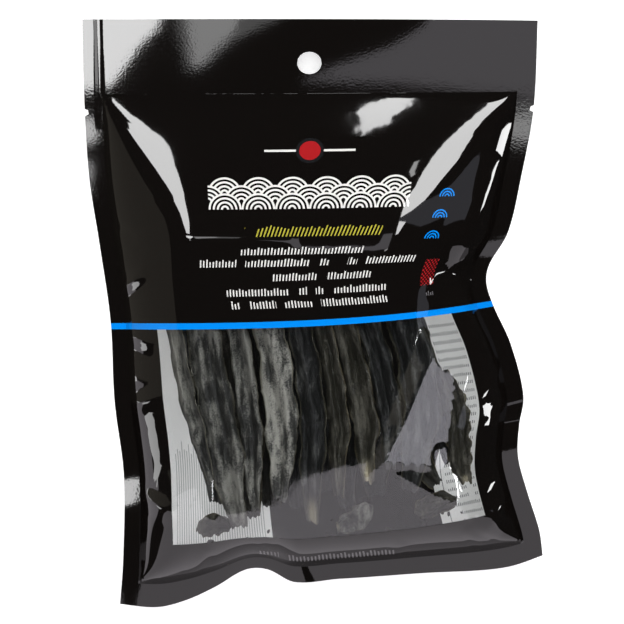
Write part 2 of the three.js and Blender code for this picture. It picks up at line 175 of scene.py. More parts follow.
@dataclass
class PouchForm:
    """The shape of the filled pouch, as its solids have it, in millimetres."""

    width: float = 160.0
    height: float = 208.0
    side_seal: float = 7.5
    bottom_seal: float = 8.0
    header: float = 26.5
    seal_gap: float = 0.3
    film_thick: float = 0.6
    front_rise: float = 18.5
    back_drop: float = 14.5
    shoulders: tuple[float, float, float] = (34.0, 62.0, 26.0)
    right_slump: float = 12.0
    shoulder_power: float = 2.2
    hip_sharpness: float = 4.0
    fold_fade: float = 3.0
    buckle_reach: float = 36.0
    buckle_fade: float = 1.6
    rise_power: float = 3.0
    plan_share: tuple[float, float] = (1.09, 0.36)
    centre: tuple[float, float] = (1.1, 102.8)
    # Film height, then plan place and height of each side edge there
    left_edge: Array = field(default_factory=lambda: np.array([
        (0, -66.8, 0, 4.5), (16, -65.4, 16, 7.5), (46, -64.8, 45.8, 11), (73, -67.9, 72.1, 12.5),
        (101, -69.3, 100, 12.5), (129, -73.5, 128, 11), (151, -77, 149.4, 9.5), (175, -78.8, 173, 8),
        (208, -80, 206, 6),
    ]))
    right_edge: Array = field(default_factory=lambda: np.array([
        (0, 82.2, 17.2, 5), (11, 80.7, 26.5, 7), (26, 76, 40.5, 10.5), (40, 72.6, 52.8, 13),
        (52, 72.9, 63.5, 14), (64, 74.6, 73.9, 12), (84, 70.2, 92, 11.5), (98, 64.2, 105, 12.4),
        (107, 61.6, 113, 13.2), (115, 62.6, 119.5, 13), (129, 69.3, 131, 12), (149, 74, 150.5, 11),
        (175, 78.4, 174.2, 10), (208, 80, 205.1, 9),
    ]))
    # Share of the way across, then how the buckled bottom edge moves up in plan and in height
    bottom_edge: Array = field(default_factory=lambda: np.array([
        (0, 0, 0), (0.1, -1.2, -0.6), (0.17, 1, -1.2), (0.24, 5.4, -2.4), (0.31, 11.2, -3.2),
        (0.36, 11.2, -2.4), (0.42, 6.6, 0.2), (0.52, 6.7, 1.4), (0.7, 4.7, 0.4), (0.9, -0.2, -0.8), (1, 0, 0),
    ]))
    # The main folds of the front film, in plan
    folds: tuple[Fold, ...] = (
        Fold((48.6, 117.7), (69, 156), 1.7, 9, 6, 0.9),
        Fold((48.6, 117.7), (66, 85), 1.8, 9, 7, 1.2),
        Fold((42, 117.7), (63, 114), -3.2, 9, 9, 1.5),
        Fold((-60, 18), (-44, 47), 1.3, 7, 6, 0.8),
        Fold((60, 26), (73, 47), 1.6, 6, 5, 0.8),
        Fold((-14, 29), (-9, 13), -1.8, 6, 5, 0.8),
    )
    # The wedge-shaped fold over the window's right half, and the smaller one below it
    facets: tuple[Facet, ...] = (
        Facet((24.9, 51.8, 34.3), (-0.158, 0.065), (
            ((24.9, 48.1), (45.3, 50.8), 0.7), ((45.3, 50.8), (53.9, 80.4), 1.0),
            ((52.5, 84.2), (44.1, 91.9), 1.0), ((35.4, 91.1), (21.5, 53.3), 0.7),
        )),
        Facet((30, 48, 31.75), (-0.04, 0.03), (
            ((48.5, 50.8), (24, 49.8), 1.0), ((24.5, 49.3), (50, 34.2), 0.8), ((54.5, 36), (49, 51), 0.8),
        )),
    )

    @property
    def half(self) -> float:
        """Half the film's width."""
        return self.width / 2

    @property
    def header_line(self) -> float:
        """Where the pocket ends and the header begins."""
        return self.height - self.header

    def middle(self, u: Array, v: Array) -> Array:
        """Gives the surface half-way between the films.

        Args:
            u: Film coordinates across.
            v: Film coordinates up.

        Returns:
            Points, with their three numbers last.
        """
        share = (u + self.half) / self.width
        wide, narrow = self.plan_share
        across = 0.5 + (share - 0.5) * (wide - narrow * (share - 0.5) ** 2)
        left = [follow(self.left_edge, k, v) for k in (1, 2, 3)]
        right = [follow(self.right_edge, k, v) for k in (1, 2, 3)]
        decay = np.maximum(0, 1 - v / self.buckle_reach) ** self.buckle_fade
        x = left[0] + (right[0] - left[0]) * across
        y = left[1] + (right[1] - left[1]) * across**self.rise_power
        z = left[2] + (right[2] - left[2]) * across
        y = y + decay * follow(self.bottom_edge, 1, share)
        z = z + decay * follow(self.bottom_edge, 2, share)
        return np.stack([x, y, z], -1)

    def _shoulder(self, distance: Array, reach: float) -> Array:
        """Gives 0 at a seal and 1 beyond the rounded shoulder."""
        return 1 - (1 - np.clip(distance / reach, 0, 1)) ** self.shoulder_power

    def fullness(self, u: Array, v: Array) -> Array:
        """Gives how full the pocket is: 0 at its seals and 1 in its middle.

        Args:
            u: Film coordinates across.
            v: Film coordinates up.

        Returns:
            Shares.
        """
        side, header, bottom = self.shoulders
        side = side + np.where(u > 0, self.right_slump * smooth_step(70, 112, v), 0)
        parts = np.stack([
            self._shoulder(self.half - self.side_seal - np.abs(u), side),
            self._shoulder(self.header_line - v, header),
            self._shoulder(v - self.bottom_seal, bottom),
        ])
        power = -self.hip_sharpness
        safe = np.maximum(parts, 1e-6)
        full = np.minimum(1, ((safe**power).sum(0) - 2) ** (1 / power))
        return np.where(parts.min(0) <= 0, 0, full)

    def front(self, u: Array, v: Array) -> Array:
        """Gives the inside of the front film, with its main folds.

        Args:
            u: Film coordinates across.
            v: Film coordinates up.

        Returns:
            Points, with their three numbers last.
        """
        point = self.middle(u, v)
        full = self.fullness(u, v)
        folds = sum(fold.at(point[..., 0], point[..., 1]) for fold in self.folds)
        point[..., 2] += self.seal_gap / 2 + self.front_rise * full
        point[..., 2] += folds * np.minimum(1, self.fold_fade * full)
        for facet in self.facets:
            point[..., 2] += facet.at(point)
        return point

    def back(self, u: Array, v: Array) -> Array:
        """Gives the inside of the back film.

        Args:
            u: Film coordinates across.
            v: Film coordinates up.

        Returns:
            Points, with their three numbers last.
        """
        point = self.middle(u, v)
        drop = self.seal_gap / 2 + self.back_drop * self.fullness(u, v)
        point[..., 2] = np.maximum(self.film_thick, point[..., 2] - drop)
        return point

    def placed(self, points: Array) -> Array:
        """Moves points from the pouch's corner to the part's frame, in metres."""
        return (points - np.array([*self.centre, 0.0])) * MM


def put_in_scene(name: str, data: bpy.types.ID) -> bpy.types.Object:
    """Makes an object of some data and links it to the scene."""
    made = bpy.data.objects.new(name, data)
    bpy.context.scene.collection.objects.link(made)
    return made


def shell(name: str, low: Array, high: Array, uv: Array, keep: Array, **marks: Array) -> bpy.types.Object:
    """Makes a closed sheet between two grids of points.

    Args:
        name: The new object's name.
        low: Rows and columns of points, in metres.
        high: The same for the upper face.
        uv: The grid's texture coordinates.
        keep: The cells that the sheet is made of.
        marks: Numbers on the grid's points, kept as attributes.

    Returns:
        The new mesh object, at the origin.
    """
    rows, columns = low.shape[:2]
    count = rows * columns
    index = np.arange(count).reshape(rows, columns)
    a, b, c, d = index[:-1, :-1], index[:-1, 1:], index[1:, 1:], index[1:, :-1]
    ring = np.pad(keep, 1)
    faces = [np.stack([a, d, c, b], -1)[keep], np.stack([a, b, c, d], -1)[keep] + count]
    sides = (
        (a, b, ring[:-2, 1:-1]), (b, c, ring[1:-1, 2:]), (c, d, ring[2:, 1:-1]), (d, a, ring[1:-1, :-2]),
    )
    for start, end, beyond in sides:
        rim = keep & ~beyond
        start, end = start[rim], end[rim]
        faces.append(np.stack([start, end, end + count, start + count], -1))
    used, corners = np.unique(np.concatenate(faces), return_inverse=True)
    corners = corners.reshape(-1, 4)
    points = np.concatenate([low.reshape(-1, 3), high.reshape(-1, 3)])[used]
    mesh = bpy.data.meshes.new(name)
    mesh.from_pydata(points.tolist(), [], corners.tolist())
    layer = mesh.uv_layers.new(name="film")
    flat = uv.reshape(-1, 2)[used % count][corners.ravel()]
    layer.data.foreach_set("uv", flat.astype(np.float32).ravel())
    for mark, values in marks.items():
        attribute = mesh.attributes.new(mark, "FLOAT", "POINT")
        attribute.data.foreach_set("value", values.ravel()[used % count].astype(np.float32))
    mesh.shade_smooth()
    mesh.set_sharp_from_angle(angle=SHARP_ANGLE)
    return put_in_scene(name, mesh)


def grid_normals(points: Array) -> Array:
    """Gives the direction that each point of a grid faces."""
    across, up = np.gradient(points, axis=1), np.gradient(points, axis=0)
    normal = np.cross(across, up)
    return normal / np.linalg.norm(normal, axis=-1, keepdims=True)


def one_node(operation: str, turned: bool = False) -> Callable[..., "Signal"]:
    """Makes a method of a signal that adds a Math node on it and on what else is given.

    Args:
        operation: The node's operation.
        turned: Whether the signal comes last, as where a number stands before it.

    Returns:
        The method.
    """

    def method(self: "Signal", *others: Any) -> "Signal":
        """Adds the node and gives its result."""
        return self.board.math(operation, *((*others, self) if turned else (self, *others)))

    return method


class Signal:
    """A number in a shader, on which Python's operators work."""

    def __init__(self, board: "NodeBoard", socket: bpy.types.NodeSocket) -> None:
        """Wraps a socket of a board's node."""
        self.board = board
        self.socket = socket

    __add__ = __radd__ = one_node("ADD")
    __sub__ = one_node("SUBTRACT")
    __rsub__ = one_node("SUBTRACT", turned=True)
    __mul__ = __rmul__ = one_node("MULTIPLY")
    __truediv__ = one_node("DIVIDE")
    __pow__ = one_node("POWER")
    __gt__ = one_node("GREATER_THAN")
    __lt__ = one_node("LESS_THAN")
    __abs__ = one_node("ABSOLUTE")
    floor = one_node("FLOOR")
    # What is after the point, and the larger of two
    fraction = one_node("FRACT")
    either = one_node("MAXIMUM")

    def clamped(self) -> "Signal":
        """Keeps it from 0 to 1."""
        return self.board.node("ShaderNodeClamp", {}, {"Value": self}).out("Result")

    def between(self, low: Any, high: Any) -> "Signal":
        """Gives 1 where it is from low to high."""
        return (self > low) * (self < high)


@dataclass
class Made:
    """A node that a board made."""

    board: "NodeBoard"
    node: bpy.types.Node

    def out(self, name: str | int) -> Signal:
        """Wraps one of its outputs."""
        return Signal(self.board, self.node.outputs[name])


class NodeBoard:
    """A tree of nodes."""

    def __init__(self, tree: bpy.types.NodeTree) -> None:
        """Takes an empty tree."""
        self.tree = tree

    def node(self, kind: str, settings: dict[str, Any], values: dict[str | int, Any]) -> Made:
        """Adds a node.

        Args:
            kind: Blender's name of its type.
            settings: Its own settings, set first.
            values: What goes into its sockets: numbers, colours or signals.

        Returns:
            The node.
        """
        node = self.tree.nodes.new(kind)
        for name, value in settings.items():
            setattr(node, name, value)
        for name, value in values.items():
            if isinstance(value, Signal):
                self.tree.links.new(value.socket, node.inputs[name])
            else:
                node.inputs[name].default_value = value
        return Made(self, node)

    def math(self, operation: str, *values: Any) -> Signal:
        """Adds a Math node on values and gives its result."""
        return self.node("ShaderNodeMath", {"operation": operation}, dict(enumerate(values))).out(0)


class Board(NodeBoard):
    """A material and the nodes that make it."""

    def __init__(self, name: str) -> None:
        """Starts an empty material."""
        self.material = bpy.data.materials.new(name)
        self.material.use_nodes = True
        super().__init__(self.material.node_tree)
        self.tree.nodes.clear()

    def mix(self, share: Any, first: Any, second: Any) -> Signal:
        """Mixes two colours.

        Args:
            share: How much of the second shows.
            first: A colour or signal.
            second: A colour or signal.

        Returns:
            The mixed colour.
        """
        return self.node("ShaderNodeMix", {"data_type": "RGBA"}, {0: share, 6: first, 7: second}).out(2)

    def place(self) -> Signal:
        """Gives the point on the object, in metres."""
        return self.node("ShaderNodeTexCoord", {}, {}).out("Object")

    def film_place(self, form: PouchForm) -> tuple[Signal, Signal]:
        """Gives the film coordinates of a piece, in millimetres."""
        uv = self.node("ShaderNodeUVMap", {"uv_map": "film"}, {}).out("UV")
        parts = self.node("ShaderNodeSeparateXYZ", {}, {"Vector": uv})
        return parts.out("X") * form.width - form.half, parts.out("Y") * form.height

    def mark(self, name: str) -> Signal:
        """Reads a number kept on the mesh."""
        return self.node("ShaderNodeAttribute", {"attribute_name": name}, {}).out("Fac")

    def noise(self, size: float, detail: float = 2.0, stretch: float = 1.0) -> Signal:
        """Reads a noise.

        Args:
            size: About how large its blotches are, in metres.
            detail: How many finer noises are on it.
            stretch: How much longer than wide the blotches are, along Y.

        Returns:
            A signal of about 0.3 to 0.7.
        """
        spread = self.node(
            "ShaderNodeMapping", {}, {"Vector": self.place(), "Scale": (1.0, 1.0 / stretch, 1.0)}
        )
        values = {"Vector": spread.out("Vector"), "Scale": 1.0 / size, "Detail": detail}
        return self.node("ShaderNodeTexNoise", {}, values).out("Fac")

    def random(self, cell: Signal, row: float) -> Signal:
        """Draws a number from 0 to 1 for each cell of a row."""
        vector = self.node("ShaderNodeCombineXYZ", {}, {"X": cell, "Y": row})
        values = {"Vector": vector.out("Vector")}
        return self.node("ShaderNodeTexWhiteNoise", {"noise_dimensions": "2D"}, values).out("Value")

    def bump(self, height: Signal, distance: float) -> Signal:
        """Turns a height of about 0 to 1 into a normal, with 1 that many metres high."""
        values = {"Strength": 1.0, "Distance": distance, "Height": height}
        return self.node("ShaderNodeBump", {}, values).out("Normal")

    def finish(self, shader: Signal) -> bpy.types.Material:
        """Sends a shader to the surface and gives the material."""
        self.node("ShaderNodeOutputMaterial", {}, {"Surface": shader})
        return self.material


class ShapeTree(NodeBoard):
    """A tree that makes or changes the shape of a piece, with named inputs."""

    def __init__(self, name: str, inputs: dict[str, str]) -> None:
        """Starts an empty tree.

        Args:
            name: The tree's name.
            inputs: Its inputs' names and Blender's names of their types.
        """
        super().__init__(bpy.data.node_groups.new(name, "GeometryNodeTree"))
        face = self.tree.interface
        face.new_socket(name="Geometry", in_out="INPUT", socket_type="NodeSocketGeometry")
        face.new_socket(name="Geometry", in_out="OUTPUT", socket_type="NodeSocketGeometry")
        for label, kind in inputs.items():
            face.new_socket(name=label, in_out="INPUT", socket_type=kind)
        self.entry = Made(self, self.tree.nodes.new("NodeGroupInput"))

    def random(self, low: Any, high: Any, seed: Any, kind: str = "FLOAT") -> Signal:
        """Draws a number or a vector for each point."""
        values: dict[str | int, Any] = {"Seed": seed}
        first, output = (0, 0) if kind == "FLOAT_VECTOR" else (2, 1)
        values |= {first: low, first + 1: high}
        return self.node("FunctionNodeRandomValue", {"data_type": kind}, values).out(output)

    def finish(self, geometry: Signal) -> "ShapeTree":
        """Sends a shape to the output and gives the tree."""
        self.node("NodeGroupOutput", {}, {"Geometry": geometry})
        return self

    def shape(self, piece: bpy.types.Object, values: dict[str, Any]) -> None:
        """Runs the tree on a piece and keeps the result as its mesh.

        Args:
            piece: The mesh object.
            values: What its named inputs are set to.
        """
        modifier = piece.modifiers.new(self.tree.name, "NODES")
        modifier.node_group = self.tree
        for item in self.tree.interface.items_tree:
            if item.item_type == "SOCKET" and item.in_out == "INPUT" and item.name in values:
                modifier[item.identifier] = values[item.name]
        graph = bpy.context.evaluated_depsgraph_get()
        mesh = bpy.data.meshes.new_from_object(piece.evaluated_get(graph), depsgraph=graph)
        piece.modifiers.remove(modifier)
        old, piece.data = piece.data, mesh
        bpy.data.meshes.remove(old)


def crinkle_tree() -> ShapeTree:
    """Makes the tree that crumples a dried sheet and dresses it."""
    tree = ShapeTree("crinkle", {
        "Height": "NodeSocketFloat", "Size": "NodeSocketFloat", "Seed": "NodeSocketFloat",
        "Material": "NodeSocketMaterial",
    })
    given = tree.entry
    place = tree.node("GeometryNodeInputPosition", {}, {}).out("Position")
    squeezed = tree.node(
        "ShaderNodeVectorMath", {"operation": "MULTIPLY"}, {0: place, 1: (1.0, 0.55, 0.3)}
    ).out("Vector")
    lift = None
    for share, finer in ((0.7, 1.0), (0.3, 2.7)):
        scale = given.out("Size") ** -1 * finer
        values = {"Vector": squeezed, "W": given.out("Seed"), "Scale": scale, "Detail": 2.0}
        noise = tree.node("ShaderNodeTexNoise", {"noise_dimensions": "4D"}, values).out(0)
        bump = (noise - 0.5) * (2 * share)
        lift = bump if lift is None else lift + bump
    offset = tree.node("ShaderNodeCombineXYZ", {}, {"Z": lift * given.out("Height")}).out("Vector")
    values = {"Geometry": given.out("Geometry"), "Offset": offset}
    moved = tree.node("GeometryNodeSetPosition", {}, values).out("Geometry")
    values = {"Geometry": moved, "Material": given.out("Material")}
    return tree.finish(tree.node("GeometryNodeSetMaterial", {}, values).out("Geometry"))


def crumb_tree() -> ShapeTree:
    """Makes the tree that strews torn crumbs over a sheet, in place of it."""
    tree = ShapeTree("crumbs", {
        "Density": "NodeSocketFloat", "Least": "NodeSocketFloat", "Most": "NodeSocketFloat",
        "Seed": "NodeSocketInt", "Material": "NodeSocketMaterial",
    })
    given = tree.entry
    seed = given.out("Seed")
    values = {"Mesh": given.out("Geometry"), "Density": given.out("Density"), "Seed": seed}
    points = tree.node("GeometryNodeDistributePointsOnFaces", {}, values).out("Points")
    lump = tree.node("GeometryNodeMeshIcoSphere", {}, {"Radius": 1.0, "Subdivisions": 2}).out("Mesh")
    place = tree.node("GeometryNodeInputPosition", {}, {}).out("Position")
    rough = tree.node("ShaderNodeTexNoise", {}, {"Vector": place, "Scale": 1.6, "Detail": 2.0}).out(1)
    shift = tree.node("ShaderNodeVectorMath", {"operation": "SUBTRACT"}, {0: rough, 1: (0.5, 0.5, 0.5)})
    values = {"Geometry": lump, "Offset": shift.out("Vector")}
    torn = tree.node("GeometryNodeSetPosition", {}, values).out("Geometry")
    turn = tree.random((-0.2, -0.2, 0.0), (0.2, 0.2, 6.28), seed, "FLOAT_VECTOR")
    size = tree.random(given.out("Least"), given.out("Most"), seed)
    flat = tree.node("ShaderNodeCombineXYZ", {}, {"X": size, "Y": size * 0.6, "Z": size * 0.25})
    values = {"Points": points, "Instance": torn, "Rotation": turn, "Scale": flat.out("Vector")}
    strewn = tree.node("GeometryNodeInstanceOnPoints", {}, values).out("Instances")
    real = tree.node("GeometryNodeRealizeInstances", {}, {"Geometry": strewn}).out("Geometry")
    values = {"Geometry": real, "Material": given.out("Material")}
    return tree.finish(tree.node("GeometryNodeSetMaterial", {}, values).out("Geometry"))


Colour = tuple[float, float, float, float]


def grey(value: float) -> Colour:
    """Gives a grey colour."""
    return (value, value, value, 1.0)


@dataclass(frozen=True)
class Area:
    """An upright box in film coordinates."""

    left: float
    right: float
    bottom: float
    top: float

    def mask(self, u: Signal, v: Signal) -> Signal:
        """Gives 1 inside it."""
        return u.between(self.left, self.right) * v.between(self.bottom, self.top)


@dataclass(frozen=True)
class Solid:
    """A plain printed block."""

    area: Area

    def mask(self, board: Board, u: Signal, v: Signal) -> Signal:
        """Gives 1 where it prints."""
        return self.area.mask(u, v)


@dataclass(frozen=True)
class Dashes:
    """A printed row of short upright strokes, in groups of random length.

    slant leans the strokes, and gap is the share of the places that are left bare.
    """

    area: Area
    pitch: float
    stroke: float
    row: float
    slant: float = 0.0
    gap: float = 0.16
    cell: float = 3.4

    def mask(self, board: Board, u: Signal, v: Signal) -> Signal:
        """Gives 1 where it prints."""
        along = u - (v - self.area.bottom) * self.slant
        cell = ((along - self.area.left) / self.cell).floor()
        shown = board.random(cell, self.row) > self.gap
        stroke = ((along - self.area.left) / self.pitch).floor()
        draw = board.random(stroke, self.row + 0.5)
        tall = (v - self.area.bottom) < (draw * 0.35 + 0.65) * (self.area.top - self.area.bottom)
        inked = ((along - self.area.left) / self.pitch).fraction() < self.stroke / self.pitch
        return self.area.mask(u, v) * shown * tall * inked


@dataclass(frozen=True)
class Waves:
    """A printed band of the traditional wave scale: rows of half rings, each over the next."""

    area: Area
    radius: float
    line: float
    rows: int = 3

    def mask(self, board: Board, u: Signal, v: Signal) -> Signal:
        """Gives 1 where it prints."""
        ink = None
        free = None
        for row in range(self.rows):
            shift = 0.5 * (row % 2)
            centre = self.area.bottom + row * self.radius / 2
            across = (((u - self.area.left) / (2 * self.radius) + shift).fraction() - 0.5) * (2 * self.radius)
            up = v - centre
            distance = (across * across + up * up) ** 0.5
            inside = (distance < self.radius) * (up > 0)
            rings = ((self.radius - distance) / (2 * self.line)).fraction() < 0.5
            shown = inside * rings
            ink = shown if ink is None else ink.either(shown * free)
            free = 1 - inside if free is None else free * (1 - inside)
        return self.area.mask(u, v) * ink


@dataclass(frozen=True)
class Disc:
    """A printed round spot."""

    u: float
    v: float
    radius: float

    def mask(self, board: Board, u: Signal, v: Signal) -> Signal:
        """Gives 1 where it prints."""
        across, up = u - self.u, v - self.v
        return (across * across + up * up) < self.radius**2


@dataclass(frozen=True)
class Crest:
    """A printed small wave: half rings, one inside another."""

    u: float
    v: float
    radius: float
    line: float

    def mask(self, board: Board, u: Signal, v: Signal) -> Signal:
        """Gives 1 where it prints."""
        across, up = u - self.u, v - self.v
        distance = (across * across + up * up) ** 0.5
        rings = ((self.radius - distance) / (2 * self.line)).fraction() < 0.5
        return (distance < self.radius) * (up > 0) * rings


@dataclass(frozen=True)
class Lattice:
    """A printed field of small lozenges, leaning as far as its strokes are apart."""

    area: Area
    pitch: float
    share: float

    def mask(self, board: Board, u: Signal, v: Signal) -> Signal:
        """Gives 1 where it prints."""
        rising = (((u - self.area.left) + (v - self.area.bottom)) / self.pitch).fraction() < self.share
        falling = (((u - self.area.left) - (v - self.area.bottom)) / self.pitch).fraction() < self.share
        return self.area.mask(u, v) * rising * falling


@dataclass(frozen=True)
class Print:
    """A mark and the ink that it is printed in."""

    mark: Solid | Dashes | Waves | Disc | Crest | Lattice
    ink: Colour


WHITE_INK: Colour = (0.72, 0.72, 0.69, 1.0)
YELLOW_INK: Colour = (0.42, 0.38, 0.045, 1.0)
BLUE_INK: Colour = (0.0, 0.24, 0.80, 1.0)
RED_INK: Colour = (0.36, 0.012, 0.015, 1.0)
BLACK_INK: Colour = (0.01, 0.01, 0.011, 1.0)
FAINT_INK: Colour = (0.12, 0.115, 0.12, 1.0)


def front_prints(form: PouchForm) -> list[Print]:
    """Lists the plain marks on the front film, and the stripe over its window."""
    text = [(-21.5, 28, 123), (-36.5, 43.5, 118.9), (-16, 28, 113.9), (-30, 38, 108.9), (-25, 34.5, 104.6)]
    rows = [
        Print(Dashes(Area(left, right, low, low + 2.7), 1.2, 0.52, 3.0 + k), WHITE_INK)
        for k, (left, right, low) in enumerate(text)
    ]
    return [
        Print(Solid(Area(-form.half - 1, form.half + 1, 98.0, 100.1)), BLUE_INK),
        Print(Waves(Area(-33.0, 36.0, 139.0, 150.6), 5.75, 0.72), WHITE_INK),
        Print(Solid(Area(-14.0, 16.0, 159.6, 160.4)), WHITE_INK),
        Print(Disc(1.0, 160.0, 4.6), BLACK_INK),
        Print(Disc(1.0, 160.0, 3.5), RED_INK),
        Print(Dashes(Area(-20.5, 27.5, 129.3, 133.2), 1.3, 0.5, 1.0, slant=0.3), YELLOW_INK),
        *rows,
        Print(Crest(49.6, 142.2, 2.9, 0.48), BLUE_INK),
        Print(Crest(48.0, 134.8, 2.9, 0.48), BLUE_INK),
        Print(Crest(46.6, 127.4, 2.9, 0.48), BLUE_INK),
        Print(Lattice(Area(48.2, 54.0, 109.4, 119.4), 1.45, 0.62), RED_INK),
        Print(Dashes(Area(50.5, 55.5, 105.4, 107.0), 0.9, 0.45, 9.0), FAINT_INK),
        Print(Dashes(Area(-25.0, 23.0, 11.4, 14.8), 1.3, 0.6, 10.0), FAINT_INK),
    ]


@dataclass(frozen=True)
class BlackFilm:
    """Glossy laminate film, printed black, with a pebbled surface where it is welded."""

    form: PouchForm
    name: str = "printed_film"
    black: Colour = (0.0036, 0.0028, 0.0024, 1.0)
    roughness: float = 0.03
    ior: float = 1.62
    # How high the fine grain and the broad waviness are, how large, and their share off their own part
    grain: float = 0.0000026
    wave: float = 0.000014
    grain_size: float = 0.0007
    wave_size: float = 0.006
    pocket_grain: float = 0.15
    weld_wave: float = 0.2

    def weld_share(self, u: Signal, v: Signal) -> Signal:
        """Gives 1 on the welded seals and the header, and 0 on the pocket."""
        form = self.form
        sides = abs(u) > form.half - form.side_seal
        return sides.either(v > form.header_line).either(v < form.bottom_seal)

    def material(self, prints: list[Print], painted_glow: float = 0.0) -> bpy.types.Material:
        """Makes the film with marks on it.

        Args:
            prints: The marks, each over those before it.
            painted_glow: How strongly the marks glow by emission, a painted glow that stands in for light
                from behind coming through the pale ones.

        Returns:
            The material.
        """
        board = Board(self.name)
        u, v = board.film_place(self.form)
        colour: Any = self.black
        for item in prints:
            colour = board.mix(item.mark.mask(board, u, v), colour, item.ink)
        welded = self.weld_share(u, v)
        share = welded * (1 - self.pocket_grain) + self.pocket_grain
        fine = board.noise(self.grain_size, 1.0) * share * (self.grain / self.wave)
        broad = board.noise(self.wave_size, 1.0) * (1 - welded * (1 - self.weld_wave))
        values = {
            "Base Color": colour,
            "Roughness": self.roughness,
            "IOR": self.ior,
            "Normal": board.bump(fine + broad, self.wave),
        }
        # The marks glow by emission: painted light that stands in for light from behind, not a lamp.
        if painted_glow:
            values |= {"Emission Color": colour, "Emission Strength": painted_glow}
        return board.finish(board.node("ShaderNodeBsdfPrincipled", {}, values).out("BSDF"))


@dataclass(frozen=True)
class ClearFilm:
    """The unprinted film: see-through, with the gloss of both its faces."""

    name: str = "clear_film"
    gloss: float = 0.045
    least: float = 0.052
    haze: Colour = (0.93, 0.94, 0.95, 1.0)
    # The size, detail and share of its fine and its broad unevenness, and how high it is
    fine: tuple[float, float, float] = (0.0012, 3.0, 0.2)
    broad: tuple[float, float, float] = (0.007, 1.0, 0.5)
    uneven: float = 0.00003

    def material(self) -> bpy.types.Material:
        """Makes the clear film."""
        board = Board(self.name)
        fine, broad = (board.noise(size, detail) * share for size, detail, share in (self.fine, self.broad))
        normal = board.bump(fine + broad, self.uneven)
        facing = board.node("ShaderNodeLayerWeight", {}, {"Blend": 0.5, "Normal": normal}).out("Facing")
        share = facing**5 * (1 - self.least) + self.least
        clear = board.node("ShaderNodeBsdfTransparent", {}, {"Color": self.haze}).out("BSDF")
        values = {"Color": grey(1.0), "Roughness": self.gloss, "Normal": normal}
        shine = board.node("ShaderNodeBsdfGlossy", {}, values).out("BSDF")
        mixed = board.node("ShaderNodeMixShader", {}, {0: share, 1: clear, 2: shine}).out("Shader")
        return board.finish(mixed)


def back_prints() -> list[Print]:
    """Lists what is printed on the back film: pale panels, a block of fine lines and small dashes."""
    pale: Colour = (0.84, 0.83, 0.80, 1.0)
    dark: Colour = (0.2, 0.2, 0.205, 1.0)
    faint: Colour = (0.46, 0.46, 0.45, 1.0)
    rows = [
        Print(Dashes(Area(48.5, 60.0, low, low + 1.4), 0.8, 0.36, 20.0 + low, gap=0.1, cell=2.6), dark)
        for low in np.arange(16.0, 96.0, 3.1).tolist()
    ]
    return [
        Print(Solid(Area(-66.0, -20.0, 12.0, 176.0)), pale),
        Print(Solid(Area(43.0, 66.0, 12.0, 176.0)), pale),
        Print(Dashes(Area(-57.0, -22.0, 17.0, 66.0), 0.95, 0.36, 40.0, gap=0.0), faint),
        Print(Solid(Area(46.6, 46.9, 12.0, 98.0)), dark),
        *rows,
    ]


class Tone(Enum):
    """How a frond's surface has dried."""

    PALE = "pale"
    DUSTY = "dusty"
    DARK = "dark"
    OLIVE = "olive"


@dataclass(frozen=True)
class DriedFrond:
    """Dried seaweed: near black, with a pale mineral bloom on its ridges and thin brown margins."""

    tone: Tone
    flesh: Colour
    bloom: Colour
    margin: Colour
    bloom_share: float
    pale_tip: Colour = (0.47, 0.42, 0.29, 1.0)
    ior: float = 1.48
    relief: float = 0.0011
    # How much ridges, streaks, specks and patches gather the bloom, and how much lies everywhere
    gathers: tuple[float, float, float, float] = (0.6, 3.0, 1.8, 3.6)
    everywhere: float = 0.22

    def material(self) -> bpy.types.Material:
        """Makes the dried frond."""
        board = Board("dried_wakame_" + self.tone.value)
        ridge, edge, tip = board.mark("ridge"), board.mark("margin"), board.mark("tip")
        streaks = board.noise(0.0021, 4.0, stretch=3.4)
        specks = board.noise(0.0006, 3.0)
        patches = board.noise(0.011, 4.0, stretch=1.6)
        creases = abs(board.noise(0.0042, 4.0, stretch=2.2) - 0.5)
        by_ridge, by_streak, by_speck, by_patch = self.gathers
        dust = ridge * by_ridge + (streaks - 0.5) * by_streak + (specks - 0.5) * by_speck
        dust = dust + (patches - 0.5) * by_patch + self.everywhere
        dusty = ((dust + (self.bloom_share - 0.85)) * 1.1).clamped()
        colour = board.mix(dusty, self.flesh, self.bloom)
        colour = board.mix((edge * (0.35 + patches * 0.9)).clamped(), colour, self.margin)
        colour = board.mix(tip.clamped(), colour, self.pale_tip)
        height = creases * 1.6 + streaks * 0.5 + specks * 0.3
        values = {
            "Base Color": colour,
            "Roughness": (dusty * 0.3 + 0.44 + (specks - 0.5) * 0.3).clamped(),
            "IOR": self.ior,
            "Normal": board.bump(height, self.relief),
        }
        return board.finish(board.node("ShaderNodeBsdfPrincipled", {}, values).out("BSDF"))


FROND_FINISHES = {
    Tone.PALE: DriedFrond(
        Tone.PALE, (0.036, 0.036, 0.031, 1), (0.34, 0.33, 0.285, 1), (0.12, 0.11, 0.075, 1), 0.8
    ),
    Tone.DUSTY: DriedFrond(
        Tone.DUSTY, (0.022, 0.022, 0.019, 1), (0.22, 0.215, 0.185, 1), (0.075, 0.068, 0.042, 1), 0.66
    ),
    Tone.DARK: DriedFrond(
        Tone.DARK, (0.010, 0.0105, 0.0095, 1), (0.085, 0.085, 0.078, 1), (0.05, 0.045, 0.027, 1), 0.3
    ),
    Tone.OLIVE: DriedFrond(
        Tone.OLIVE, (0.019, 0.0175, 0.011, 1), (0.105, 0.098, 0.075, 1), (0.095, 0.078, 0.042, 1), 0.34
    ),
}


